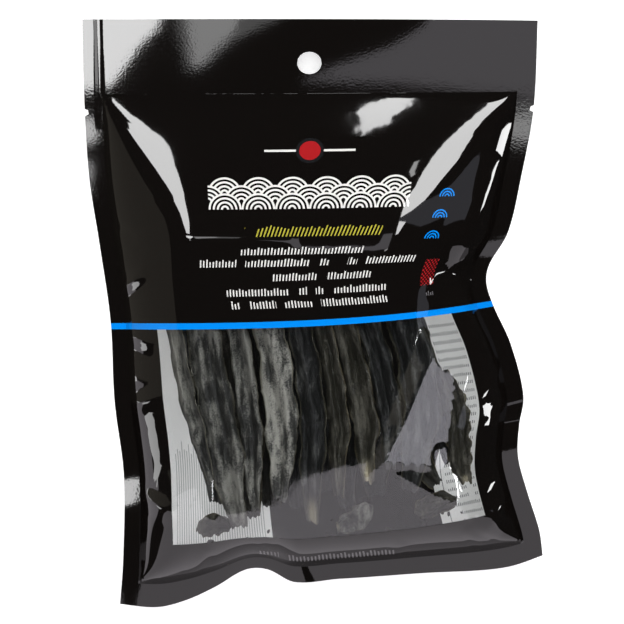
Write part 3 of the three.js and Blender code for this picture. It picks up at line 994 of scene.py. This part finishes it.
@dataclass
class Film:
    """A film of the pouch: its fine shape, meshed on the film laid flat."""

    form: PouchForm
    thick: float = 0.16
    pitch: float = 1.0
    hole: tuple[float, float, float, float] = (0.0, 192.4, 4.0, 4.0)
    notches: tuple[tuple[float, float, float, float], ...] = (
        (-80.0, 175.0, 1.8, 1.3), (80.0, 175.0, 1.8, 1.3),
    )

    def flat_grid(self, left: float, right: float, bottom: float, top: float) -> tuple[Array, Array]:
        """Gives film coordinates on a grid about one pitch apart, with lines along the seals.

        Args:
            left: Where the grid starts across.
            right: Where it ends across.
            bottom: Where it starts up the film.
            top: Where it ends.

        Returns:
            The two coordinates of each point, in rows up the film.
        """
        form = self.form
        us = np.linspace(left, right, round((right - left) / self.pitch) + 1)
        vs = np.linspace(bottom, top, round((top - bottom) / self.pitch) + 1)
        for line in (form.side_seal - form.half, form.half - form.side_seal):
            us[np.abs(us - line).argmin()] = line
        for line in (form.bottom_seal, form.header_line):
            vs[np.abs(vs - line).argmin()] = line
        return np.meshgrid(us, vs)

    def punch(self, u: Array, v: Array) -> Array:
        """Leaves out the cells in the peg hole and notches, and draws the rims round.

        Args:
            u: Film coordinates across, moved in place where they lie on a rim.
            v: Film coordinates up, moved likewise.

        Returns:
            The cells that stay.
        """
        keep = np.ones((u.shape[0] - 1, u.shape[1] - 1), bool)
        for centre_u, centre_v, wide, tall in (self.hole, *self.notches):
            apart = np.hypot((u - centre_u) / wide, (v - centre_v) / tall)
            middle = (apart[:-1, :-1] + apart[1:, :-1] + apart[:-1, 1:] + apart[1:, 1:]) / 4
            gone = middle < 1
            keep &= ~gone
            touched = np.zeros(u.shape, bool)
            stays = np.zeros(u.shape, bool)
            for rows in (slice(None, -1), slice(1, None)):
                for columns in (slice(None, -1), slice(1, None)):
                    touched[rows, columns] |= gone
                    stays[rows, columns] |= ~gone
            rim = touched & stays
            factor = 1 / np.maximum(apart[rim], 1e-6)
            u[rim] = centre_u + (u[rim] - centre_u) * factor
            v[rim] = centre_v + (v[rim] - centre_v) * factor
        np.clip(u, -self.form.half, self.form.half, out=u)
        return keep

    def texture(self, u: Array, v: Array) -> Array:
        """Gives texture coordinates from 0 to 1 over the whole film."""
        return np.stack([(u + self.form.half) / self.form.width, v / self.form.height], -1)


@dataclass
class FrontFilm(Film):
    """The front film: a black print round a clear window."""

    window: Area = Area(-57.5, 58.8, 23.0, 98.0)
    # How far it stands off its solid's inside, on the seals and on the full pocket
    weld_proud: float = 0.05
    proud: float = 0.3
    proud_fade: float = 4.0
    pucker_fade: float = 8.0
    # Short creases that run in from the seals, and a faint one over the pocket, in film coordinates
    puckers: tuple[Fold, ...] = (
        Fold((-72.5, 112), (-58, 118), 0.8, 3.5, 3, 0.35), Fold((-72.5, 97), (-59, 93), 0.6, 3, 4, 0.35),
        Fold((-72.5, 70), (-56, 76), 0.7, 4, 3, 0.35), Fold((-72.5, 40), (-54, 33), 0.9, 4, 5, 0.35),
        Fold((-72.5, 134), (-62, 129), -0.5, 3, 3, 0.35), Fold((72.5, 76), (58, 66), 0.9, 4, 3, 0.35),
        Fold((72.5, 52), (60, 57), 0.6, 3, 4, 0.35), Fold((72.5, 28), (60, 20), 0.8, 4, 3, 0.35),
        Fold((-50, 8), (-43, 21), 0.6, 4, 3, 0.4), Fold((-18, 8), (-24, 18), -0.5, 3, 4, 0.4),
        Fold((22, 8), (27, 17), 0.4, 4, 3, 0.4), Fold((56, 8), (50, 20), 0.6, 3, 4, 0.4),
    )
    crest: Fold = Fold((-58, 128.5), (-4, 127.5), 0.57, 13, 13, 0.3)
    # The two pressed lines beside the left seal: depth, width, how far apart, and where they fade in
    groove: tuple[float, float, float] = (0.07, 0.5, 1.6)
    groove_start: tuple[float, float] = (168.0, 178.0)

    def surface(self, u: Array, v: Array) -> Array:
        """Gives the outside of the front film with every crease.

        Args:
            u: Film coordinates across.
            v: Film coordinates up.

        Returns:
            Points in millimetres.
        """
        form = self.form
        full = form.fullness(u, v)
        point = form.front(u, v)
        lift = (self.proud - self.weld_proud) * np.minimum(1, self.proud_fade * full)
        point[..., 2] += self.weld_proud + lift
        point[..., 2] += self.crest.at(point[..., 0], point[..., 1])
        pucker = sum(fold.at(u, v) for fold in self.puckers)
        point[..., 2] += pucker * np.minimum(1, self.pucker_fade * full)
        point[..., 2] += self.seal_relief(u, v)
        return point

    def seal_relief(self, u: Array, v: Array) -> Array:
        """Gives the two fine pressed lines beside the left seal, on the header."""
        line = self.form.half - self.form.side_seal
        deep, wide, apart = self.groove
        relief = sum(-deep * np.exp(-(((u + line + shift) / wide) ** 2)) for shift in (0.0, apart))
        return relief * smooth_step(*self.groove_start, v)

    def build(self) -> list[bpy.types.Object]:
        """Meshes the print and the window and dresses them.

        Returns:
            The two pieces.
        """
        form = self.form
        u, v = self.flat_grid(-form.half, form.half, 0.0, form.height)
        middles = (u[:-1, :-1] + u[1:, 1:]) / 2, (v[:-1, :-1] + v[1:, 1:]) / 2
        window = self.window
        clear = (middles[0] > window.left) & (middles[0] < window.right)
        clear &= (middles[1] > window.bottom) & (middles[1] < window.top)
        keep = self.punch(u, v)
        outer = self.surface(u, v)
        inner = outer - self.thick * grid_normals(outer)
        outer, inner = form.placed(outer), form.placed(inner)
        uv = self.texture(u, v)
        printed = shell("front_film_print", inner, outer, uv, keep & ~clear)
        pane = shell("window_pane", inner, outer, uv, clear)
        printed.data.materials.append(BlackFilm(form).material(front_prints(form)))
        pane.data.materials.append(ClearFilm().material())
        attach(printed, "root")
        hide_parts("front_film")
        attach(pane, "root")
        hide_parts("front_window")
        return [printed, pane]


@dataclass
class BackFilm(Film):
    """The back film: black, with a pale panel that shows through the window and shines with a painted glow.
    """

    pitch: float = 1.6
    # How far it stands off the middle on the seals, how far it sinks into its solid, and how soon
    seal_clear: float = 0.02
    sink: float = 0.3
    sink_fade: float = 4.0
    # The pale panel's emission: a painted glow that stands in for light shining through it from behind.
    painted_glow: float = 0.42

    def build(self) -> list[bpy.types.Object]:
        """Meshes the back film and dresses it.

        Returns:
            The one piece.
        """
        form = self.form
        u, v = self.flat_grid(-form.half, form.half, 0.0, form.height)
        keep = self.punch(u, v)
        inner = form.back(u, v)
        full = np.minimum(1, self.sink_fade * form.fullness(u, v))
        inner[..., 2] += (form.seal_gap / 2 - self.seal_clear) * (1 - full)
        outer = inner - self.thick * grid_normals(inner)
        outer[..., 2] = np.maximum(0.0, outer[..., 2] - self.sink * full)
        made = shell("back_film_print", form.placed(outer), form.placed(inner), self.texture(u, v), keep)
        made.data.materials.append(BlackFilm(form, name="back_film").material(back_prints(), self.painted_glow))
        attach(made, "root")
        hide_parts("back_film")
        return [made]


@dataclass(frozen=True)
class FrondLay:
    """How one frond lies: its lower end, a middle point and its upper end, on the film."""

    low: tuple[float, float]
    mid: tuple[float, float]
    high: tuple[float, float]
    width: float
    folds: float
    lobes: float
    phase: float
    tone: Tone = Tone.DARK
    pale_tip: float = 0.0


@dataclass(frozen=True)
class Layer:
    """A layer of fronds: its nodes' name, its height in the pocket and its tilt."""

    name: str
    level: float
    lean: float
    fronds: tuple[FrondLay, ...]


PALE, DUSTY, DARK, OLIVE = Tone.PALE, Tone.DUSTY, Tone.DARK, Tone.OLIVE
TOP = Layer("frond_top", 0.82, 0.06, (
    FrondLay((-41, 45), (-46.6, 70), (-48.6, 146), 7, 1.5, 7, 0.4, DUSTY),
    FrondLay((-31, 28), (-36, 62), (-37, 158), 13.5, 2, 6, 1.9, DUSTY),
    FrondLay((-24.5, 35), (-25, 66), (-22, 149), 8, 1.5, 8, 3.1, DUSTY),
    FrondLay((-15, 38), (-13.5, 70), (-11, 160), 11.5, 1.5, 7, 4.4, PALE),
    FrondLay((-4, 29), (-2.5, 64), (1, 152), 9, 1.5, 8, 5.2, DARK, 0.8),
    FrondLay((6.5, 38), (6.5, 68), (10, 157), 7.5, 1.5, 7, 0.9, OLIVE),
    FrondLay((17.5, 42), (15.5, 72), (19, 148), 9, 1.5, 6, 2.5, OLIVE, 1.0),
    FrondLay((25.5, 46), (25, 76), (28.5, 159), 8.5, 1.5, 8, 3.8, DARK),
    FrondLay((33, 37), (37, 70), (40, 151), 13.5, 2, 6, 5.9, DARK),
    FrondLay((55, 36), (51.5, 55), (47.5, 79), 9, 1.5, 7, 1.3, OLIVE, 0.7),
))
MIDDLE = Layer("frond_middle", 0.53, 0.03, (
    FrondLay((-40, 37), (-41.5, 80), (-42, 152), 12, 1.5, 5, 2.2, DARK),
    FrondLay((-26, 31), (-28, 76), (-27, 158), 13, 1.5, 6, 0.7, OLIVE),
    FrondLay((-9, 34), (-10, 80), (-8, 150), 13, 1.5, 5, 4.9, DARK),
    FrondLay((9, 33), (8, 74), (9, 160), 13, 1.5, 6, 3.3, DARK),
    FrondLay((44, 37), (25, 74), (26, 151), 12, 1.5, 5, 5.5, OLIVE),
    FrondLay((50, 44), (41, 86), (40, 156), 11, 1.5, 5, 1.6, DARK),
))
BOTTOM = Layer("frond_bottom", 0.21, 0.03, (
    FrondLay((-38, 40), (-40, 84), (-39, 150), 16, 1.5, 5, 1.1, DARK),
    FrondLay((-19, 34), (-20, 78), (-19, 157), 16, 1.5, 5, 4.1, OLIVE),
    FrondLay((1, 38), (0, 82), (1, 149), 16, 1.5, 5, 2.9, DARK),
    FrondLay((21, 35), (20, 80), (21, 156), 16, 1.5, 5, 5.7, DARK),
    FrondLay((41, 42), (40, 86), (41, 150), 15, 1.5, 5, 0.2, OLIVE),
))
FLAKES = Layer("flake", 0.42, 0.02, (
    FrondLay((-47, 25), (-42, 28), (-35, 26), 8, 1, 2, 0.6, OLIVE),
    FrondLay((4, 25), (11, 27), (17, 33), 8, 1, 2, 2.8, DUSTY, 0.6),
    FrondLay((34, 26), (41, 29), (50, 29), 8, 1, 2, 4.6, OLIVE),
))


@dataclass
class Fronds:
    """The dried fronds in the pocket, each a thin crinkled strip with frilled margins."""

    form: PouchForm
    thick: float = 0.32
    fold_mm: float = 1.5
    ripple_mm: float = 1.1
    pocket_depth: float = 32.0
    lobe_cut: float = 0.17
    spread: float = 1.1
    lobe_offset: float = 1.7
    wander: tuple[float, float, float] = (2.4, 0.8, 5.0)
    lower_end: tuple[float, float] = (0.42, 3.2)
    upper_end: tuple[float, float] = (0.36, 2.6)
    cells: tuple[int, int] = (38, 150)
    # How deep the torn margins and the torn lower end are, and how soon the end's tearing fades
    torn: float = 0.09
    torn_end: float = 1.3
    end_fade: float = 14.0
    hem: float = 0.55
    # The fine wrinkles: how many run across half the width, and their height
    wrinkle_rows: tuple[tuple[float, float], ...] = ((2.3, 0.3), (4.1, 0.16), (7.3, 0.07))
    pucker: float = 0.16
    # The height and the size of the crumpling, in metres
    crumple: tuple[float, float] = (0.0016, 0.0052)
    # Where crumbs lie, how far above the back film, how many on a square metre, and their sizes
    crumb_sheet: Area = Area(-52.0, 52.0, 14.5, 27.0)
    crumb_lift: float = 0.7
    crumb_density: float = 9000.0
    crumb_sizes: tuple[float, float] = (0.0004, 0.0015)

    def sheet(self, lay: FrondLay, layer: Layer, rng: np.random.Generator) -> tuple[Array, dict[str, Array]]:
        """Works out the middle sheet of one frond.

        Args:
            lay: How the frond lies.
            layer: Its layer.
            rng: Where its fine wrinkles come from.

        Returns:
            Points in millimetres, in rows along the frond, and the marks on them.
        """
        form = self.form
        cells_across, cells_along = self.cells
        side, t = np.meshgrid(np.linspace(-1, 1, cells_across + 1), np.linspace(0, 1, cells_along + 1))
        low, mid, high = (np.array(end, float) for end in (lay.low, lay.mid, lay.high))
        below, above = np.linalg.norm(mid - low), np.linalg.norm(high - mid)
        at = below / (below + above)
        bow = (mid - (1 - at) ** 2 * low - at**2 * high) / (2 * at * (1 - at))
        keep = (1 - t)[..., None]
        along = t[..., None]
        centre = keep**2 * low + 2 * keep * along * bow + along**2 * high
        heading = 2 * keep * (bow - low) + 2 * along * (high - bow)
        heading = heading / np.linalg.norm(heading, axis=-1, keepdims=True)
        ends = np.minimum(1, self.lower_end[0] + self.lower_end[1] * t)
        ends = np.minimum(ends, self.upper_end[0] + self.upper_end[1] * (1 - t))
        turn = 2 * np.pi * t
        margin = np.abs(side) ** 3
        lobe = 0.5 + 0.5 * np.sin(lay.lobes * turn + lay.phase + self.lobe_offset * np.sign(side))
        length = below + above
        ragged = np.where(side < 0, ripple(rng, 7, 13)(t * length), ripple(rng, 7, 11)(t * length))
        outline = 1 - self.lobe_cut * lobe * margin + self.torn * ragged * margin
        reach = self.spread * lay.width / 2 * ends * outline * side
        u = centre[..., 0] + reach * heading[..., 1]
        v = centre[..., 1] - reach * heading[..., 0]
        end_ragged = ripple(rng, 5, 5)(reach) * self.torn_end
        v = v - end_ragged * np.maximum(0, 1 - t * self.end_fade)
        back, front = form.back(u, v), form.front(u, v)
        depth = front[..., 2] - back[..., 2]
        drift, swing, turns = self.wander
        wave = lay.phase + drift * t + swing * np.sin(turns * t + lay.phase)
        fold = self.fold_mm * ends * np.cos(np.pi * lay.folds * side + wave)
        frill = self.ripple_mm * margin * np.sin((lay.lobes + 1) * turn + 2 * lay.phase)
        fine = self.wrinkles(side, t * length, rng) * (0.55 + 0.45 * ends)
        hem = self.hem * np.abs(side) ** 5 * ripple(rng, 5, 7.5)(t * length + 3 * np.sign(side))
        point = form.middle(u, v)
        height = layer.level + layer.lean * side
        point[..., 2] = back[..., 2] + depth * height + (fold + frill) * depth / self.pocket_depth
        point[..., 2] += fine + hem
        ridge = np.clip(0.5 + 0.25 * fold / self.fold_mm + 0.55 * fine, 0, 1)
        marks = {
            "ridge": ridge,
            "margin": smooth_step(0.84, 1.0, np.abs(side)),
            "tip": lay.pale_tip * (1 - smooth_step(0.02, 0.09, t)) * np.exp(-((side / 0.5) ** 2)),
        }
        return point, marks

    def wrinkles(self, side: Array, along: Array, rng: np.random.Generator) -> Array:
        """Gives the fine lengthwise wrinkles, which wander and fade in and out.

        Args:
            side: Places across, from -1 to 1.
            along: Places along, in millimetres.
            rng: Where they come from.

        Returns:
            Heights in millimetres.
        """
        total = np.zeros_like(side)
        for count, height in self.wrinkle_rows:
            wander = ripple(rng, 4, 62)(along) * 1.7
            strength = 0.6 + 0.4 * ripple(rng, 3, 37)(along + 9 * side)
            total += height * strength * np.cos(np.pi * count * side + wander + rng.uniform(0, 6))
        puckers = ripple(rng, 5, 9)(along + 2.5 * side) * ripple(rng, 4, 2.3)(side * 2)
        return total + self.pucker * puckers

    def build(self) -> list[bpy.types.Object]:
        """Meshes and dresses every frond.

        Returns:
            The pieces, one for each node.
        """
        looks = {tone: finish.material() for tone, finish in FROND_FINISHES.items()}
        crinkle = crinkle_tree()
        made = [self._crumbs(looks[OLIVE])]
        for order, layer in enumerate((TOP, MIDDLE, BOTTOM, FLAKES)):
            for number, lay in enumerate(layer.fronds, 1):
                rng = np.random.default_rng(SEED + 100 * order + number)
                sheet, marks = self.sheet(lay, layer, rng)
                offset = grid_normals(sheet) * self.thick / 2
                node = f"{layer.name}_{number}"
                low, high = self.form.placed(sheet - offset), self.form.placed(sheet + offset)
                rows, columns = sheet.shape[:2]
                grid = np.meshgrid(np.linspace(0, 1, columns), np.linspace(0, 1, rows))
                keep = np.ones((rows - 1, columns - 1), bool)
                piece = shell("dried_" + node, low, high, np.stack(grid, -1), keep, **marks)
                crinkle.shape(piece, {
                    "Height": self.crumple[0], "Size": self.crumple[1], "Seed": float(rng.uniform(0, 90)),
                    "Material": looks[lay.tone],
                })
                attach(piece, "root")
                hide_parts(node)
                made.append(piece)
        return made

    def _crumbs(self, look: bpy.types.Material) -> bpy.types.Object:
        """Strews crumbs along the bottom of the pocket."""
        patch = self.crumb_sheet
        u, v = np.meshgrid(np.linspace(patch.left, patch.right, 60), np.linspace(patch.bottom, patch.top, 9))
        low = self.form.back(u, v) + np.array([0, 0, self.crumb_lift])
        keep = np.ones((u.shape[0] - 1, u.shape[1] - 1), bool)
        high = low + np.array([0, 0, 0.01])
        piece = shell("crumbs", self.form.placed(low), self.form.placed(high), np.stack([u, v], -1), keep)
        least, most = self.crumb_sizes
        crumb_tree().shape(piece, {
            "Density": self.crumb_density, "Least": least, "Most": most, "Seed": SEED, "Material": look,
        })
        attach(piece, "root")
        return piece


@dataclass(frozen=True)
class LitCard:
    """A lit card that the film mirrors, cut to an outline and hung round the pouch.

    Its corners are on a map of the sky in degrees, right being +X and up being +Y. The
    distance from the map's middle is the tilt from straight up.
    """

    name: str
    radiance: float
    corners: tuple[tuple[float, float], ...]
    tint: tuple[float, float, float] = (1.0, 1.0, 1.0)
    distance: float = 1.5
    longest_side: float = 6.0

    def _outline(self) -> list[tuple[float, float]]:
        """Adds corners along the long sides, so that they follow the map."""
        outline = []
        for (x, y), (next_x, next_y) in zip(self.corners, self.corners[1:] + self.corners[:1]):
            steps = max(1, math.ceil(math.hypot(next_x - x, next_y - y) / self.longest_side))
            outline += [
                (x + (next_x - x) * k / steps, y + (next_y - y) * k / steps) for k in range(steps)
            ]
        return outline

    def build(self) -> bpy.types.Object:
        """Cuts and hangs the card.

        Returns:
            The card.
        """
        outline = self._outline()
        points = []
        for x, y in outline:
            tilt, bearing = math.radians(math.hypot(x, y)), math.atan2(x, y)
            across, up = math.sin(tilt) * math.sin(bearing), math.sin(tilt) * math.cos(bearing)
            points.append(Vector((across, up, math.cos(tilt))) * self.distance)
        faces = tessellate_polygon([[Vector((x, y, 0)) for x, y in outline]])
        mesh = bpy.data.meshes.new(self.name)
        mesh.from_pydata(points, [], faces)
        made = put_in_scene(self.name, mesh)
        board = Board(self.name)
        values = {"Color": (*self.tint, 1.0), "Strength": self.radiance}
        made.data.materials.append(
            board.finish(board.node("ShaderNodeEmission", {}, values).out("Emission"))
        )
        made.visible_camera = False
        return made


@dataclass(frozen=True)
class SkyLight:
    """A large round soft light overhead, which lights the pouch but isn't mirrored in it."""

    name: str
    height: float
    size: float
    power: float

    def build(self) -> bpy.types.Object:
        """Hangs the light, facing straight down."""
        light = bpy.data.lights.new(self.name, "AREA")
        light.shape = "DISK"
        light.size = self.size
        light.energy = self.power
        made = put_in_scene(self.name, light)
        made.location.z = self.height
        made.visible_glossy = False
        return made


CARDS = (
    LitCard("front_card", 1.0, (
        (-90, -60), (-60, -26), (-30, -20), (-7.6, -38.5), (-2.1, -18.8), (-0.9, -15.1), (0.9, -12),
        (2.6, -18), (9.8, -21.7), (40, -26), (46, -30), (52, -45), (90, -62),
    ), (1.0, 0.94, 1.0)),
    LitCard("low_card", 0.36, (
        (-90, -60), (90, -60), (110, -90), (40, -150), (-40, -150), (-110, -90),
    ), (1.0, 0.94, 1.0)),
    LitCard("window_card", 1.7, (
        (14, -8), (20, -7.5), (28, -7), (32, -11), (36, -19.8), (18, -19.8), (14, -14),
    ), (1.0, 0.97, 1.06)),
    LitCard("header_card", 1.05, (
        (-2.2, 15.4), (1.5, 16.1), (2.8, 16.8), (3.9, 18.5), (9, 17.5), (9, 13.2), (6.6, 13.6), (2.2, 14.6),
    ), (1.0, 0.96, 1.03)),
    LitCard("facet_card", 0.45, (
        (10, 22), (14, 27), (28, 21), (38, 17.5), (53, 14.5), (58, 10), (56, 4), (45, 8), (28, 13),
    ), (0.94, 0.96, 1.1)),
    LitCard("left_low_card", 0.9, ((-100, -12), (-125, -12), (-125, -45), (-100, -40)), (1.0, 0.94, 1.0)),
    LitCard("left_dim_card", 0.2, ((-40, -10), (-38, 22), (-125, 34), (-128, -11)), (1.0, 0.92, 0.78)),
    LitCard("left_leaf_card", 10.5, (
        (-13.2, 78.5), (-14.6, 75), (-15.4, 72), (-15.2, 66), (-15, 61.5), (-17, 60), (-19, 57),
        (-21.5, 54), (-25, 51.3), (-24.8, 47.5), (-23.2, 43), (-21.5, 38.5), (-19.5, 34.8),
        (-17.4, 31), (-16.3, 26.8), (-14.4, 23), (-11.2, 22.8), (-10.3, 29), (-10.6, 36), (-10.8, 43),
        (-11, 47.5), (-10.2, 51.5), (-9.9, 57), (-10.8, 62.5), (-12, 68), (-12.8, 73.5),
    )),
    LitCard("header_left_card", 12.0, (
        (-15, 21), (-8.9, 20.5), (-8.7, 18.7), (-9.5, 17.8), (-10.4, 16.4), (-12.3, 16.4),
        (-13.7, 17.6), (-15, 18),
    )),
    LitCard("left_seal_card", 8.0, ((-12, 15.5), (-10.8, 15.2), (-10.7, 14.4), (-11.7, 14.3))),
    LitCard("left_lower_seal_card", 7.0, ((-11.8, 13.7), (-10.8, 13.6), (-10.8, 13.1), (-11.6, 13.1))),
    LitCard("left_end_seal_card", 9.0, ((-10.9, -17.8), (-9.8, -17.6), (-9.7, -20.6), (-10.7, -21))),
    LitCard("right_seal_card", 4.0, ((7, 13.2), (9, 13), (9, 12.4), (7.1, 12.6))),
    LitCard("header_soft_card", 3.4, (
        (-7.9, 20), (-5, 20), (-5.4, 17.9), (-6.2, 17.2), (-6.6, 16.6), (-7, 16.7),
    )),
    LitCard("header_halo_card", 1.1, (
        (-8.4, 20), (-3, 20), (-3.4, 18), (-5.4, 17.2), (-6.3, 16.4), (-7.1, 16.4), (-7.7, 17.8),
    ), distance=1.6),
    LitCard("top_card", 10.5, (
        (0.7, 71.4), (1.5, 76.1), (2.6, 78.7), (4.1, 78.5), (3.8, 76.1), (2.2, 66.4), (1.3, 63.8),
        (0.7, 60.7), (0.7, 65.2),
    )),
    LitCard("right_leaf_card", 10.5, (
        (8.3, 76), (8, 68), (7.9, 60), (8.3, 53), (9.2, 46.5), (9.9, 42), (10.6, 38), (11.4, 34),
        (10.9, 31.5), (10.4, 28), (10.6, 25), (10.9, 22), (11, 16.3), (12.6, 16.3), (16, 20.5), (18.6, 22.2),
        (23.5, 24.8), (25.5, 27.2), (27.5, 29.3), (26.8, 31.2), (25.2, 33.6), (24, 36), (22.6, 39),
        (20.5, 43.3), (18.6, 45.8), (17, 49), (15.9, 52.5), (14.4, 56), (13.9, 62), (14.8, 69),
        (13.5, 73.5), (12, 76),
    )),
    LitCard("splash_card", 5.0, ((5.6, 47.6), (6.4, 47.4), (7.6, 41.8), (8.3, 40.4), (7.6, 39.8), (6, 42.8))),
    LitCard("left_lens_card", 10.0, ((-78, 8), (-86, 4), (-88, 12), (-80, 18))),
    LitCard("left_patch_card", 3.5, (
        (-88, -20), (-100, -17), (-118, -8), (-118, -16), (-104, -22), (-92, -26),
    )),
    LitCard("right_lens_card", 12.0, ((84, -3), (95, -3), (98, 5), (86, 5))),
)


@dataclass
class Studio:
    """The camera straight above, a pale floor, a soft light and the cards."""

    image_px: int = 624
    focal_px: float = 1855.0
    height: float = 0.659
    aim: tuple[float, float] = (-0.0002, 0.0002)
    sensor: float = 36.0
    clip_end: float = 20.0
    surround: float = 0.02
    floor_half: float = 2.5
    floor_drop: float = 0.0002
    floor_grey: float = 0.8
    floor_roughness: float = 0.9
    floor_glow: float = 0.6
    sky: SkyLight = SkyLight("sky_light", 1.6, 1.4, 12.0)
    cards: tuple[LitCard, ...] = CARDS

    def build(self) -> None:
        """Sets up the camera, world, floor and lights."""
        scene = bpy.context.scene
        camera = bpy.data.cameras.new("camera")
        camera.sensor_width = self.sensor
        camera.lens = self.focal_px / self.image_px * self.sensor
        camera.clip_end = self.clip_end
        eye = put_in_scene("camera", camera)
        eye.location = (*self.aim, self.height)
        scene.camera = eye
        scene.view_settings.view_transform = "Standard"
        world = bpy.data.worlds.new("studio")
        world.use_nodes = True
        world.node_tree.nodes["Background"].inputs["Color"].default_value = grey(self.surround)
        scene.world = world
        self.sky.build()
        for card in self.cards:
            card.build()
        self._floor()

    def _floor(self) -> None:
        """Lays the pale floor, which the film doesn't mirror."""
        size = self.floor_half
        mesh = bpy.data.meshes.new("floor")
        corners = [(-size, -size, 0), (size, -size, 0), (size, size, 0), (-size, size, 0)]
        mesh.from_pydata(corners, [], [(0, 1, 2, 3)])
        made = put_in_scene("floor", mesh)
        made.location.z = -self.floor_drop
        made.visible_glossy = False
        board = Board("floor_paper")
        values = {
            "Base Color": grey(self.floor_grey),
            "Roughness": self.floor_roughness,
            "Emission Color": grey(1.0),
            "Emission Strength": self.floor_glow,
        }
        shader = board.node("ShaderNodeBsdfPrincipled", {}, values).out("BSDF")
        made.data.materials.append(board.finish(shader))


def main() -> None:
    """Builds the studio and every piece of the pouch, in order."""
    logging.basicConfig(level=logging.INFO, format="%(name)s: %(message)s")
    Studio().build()
    form = PouchForm()
    for part in (BackFilm(form), Fronds(form), FrontFilm(form)):
        for piece in part.build():
            LOG.info("%s has %d faces", piece.name, len(piece.data.polygons))


if __name__ == "__main__":
    main()
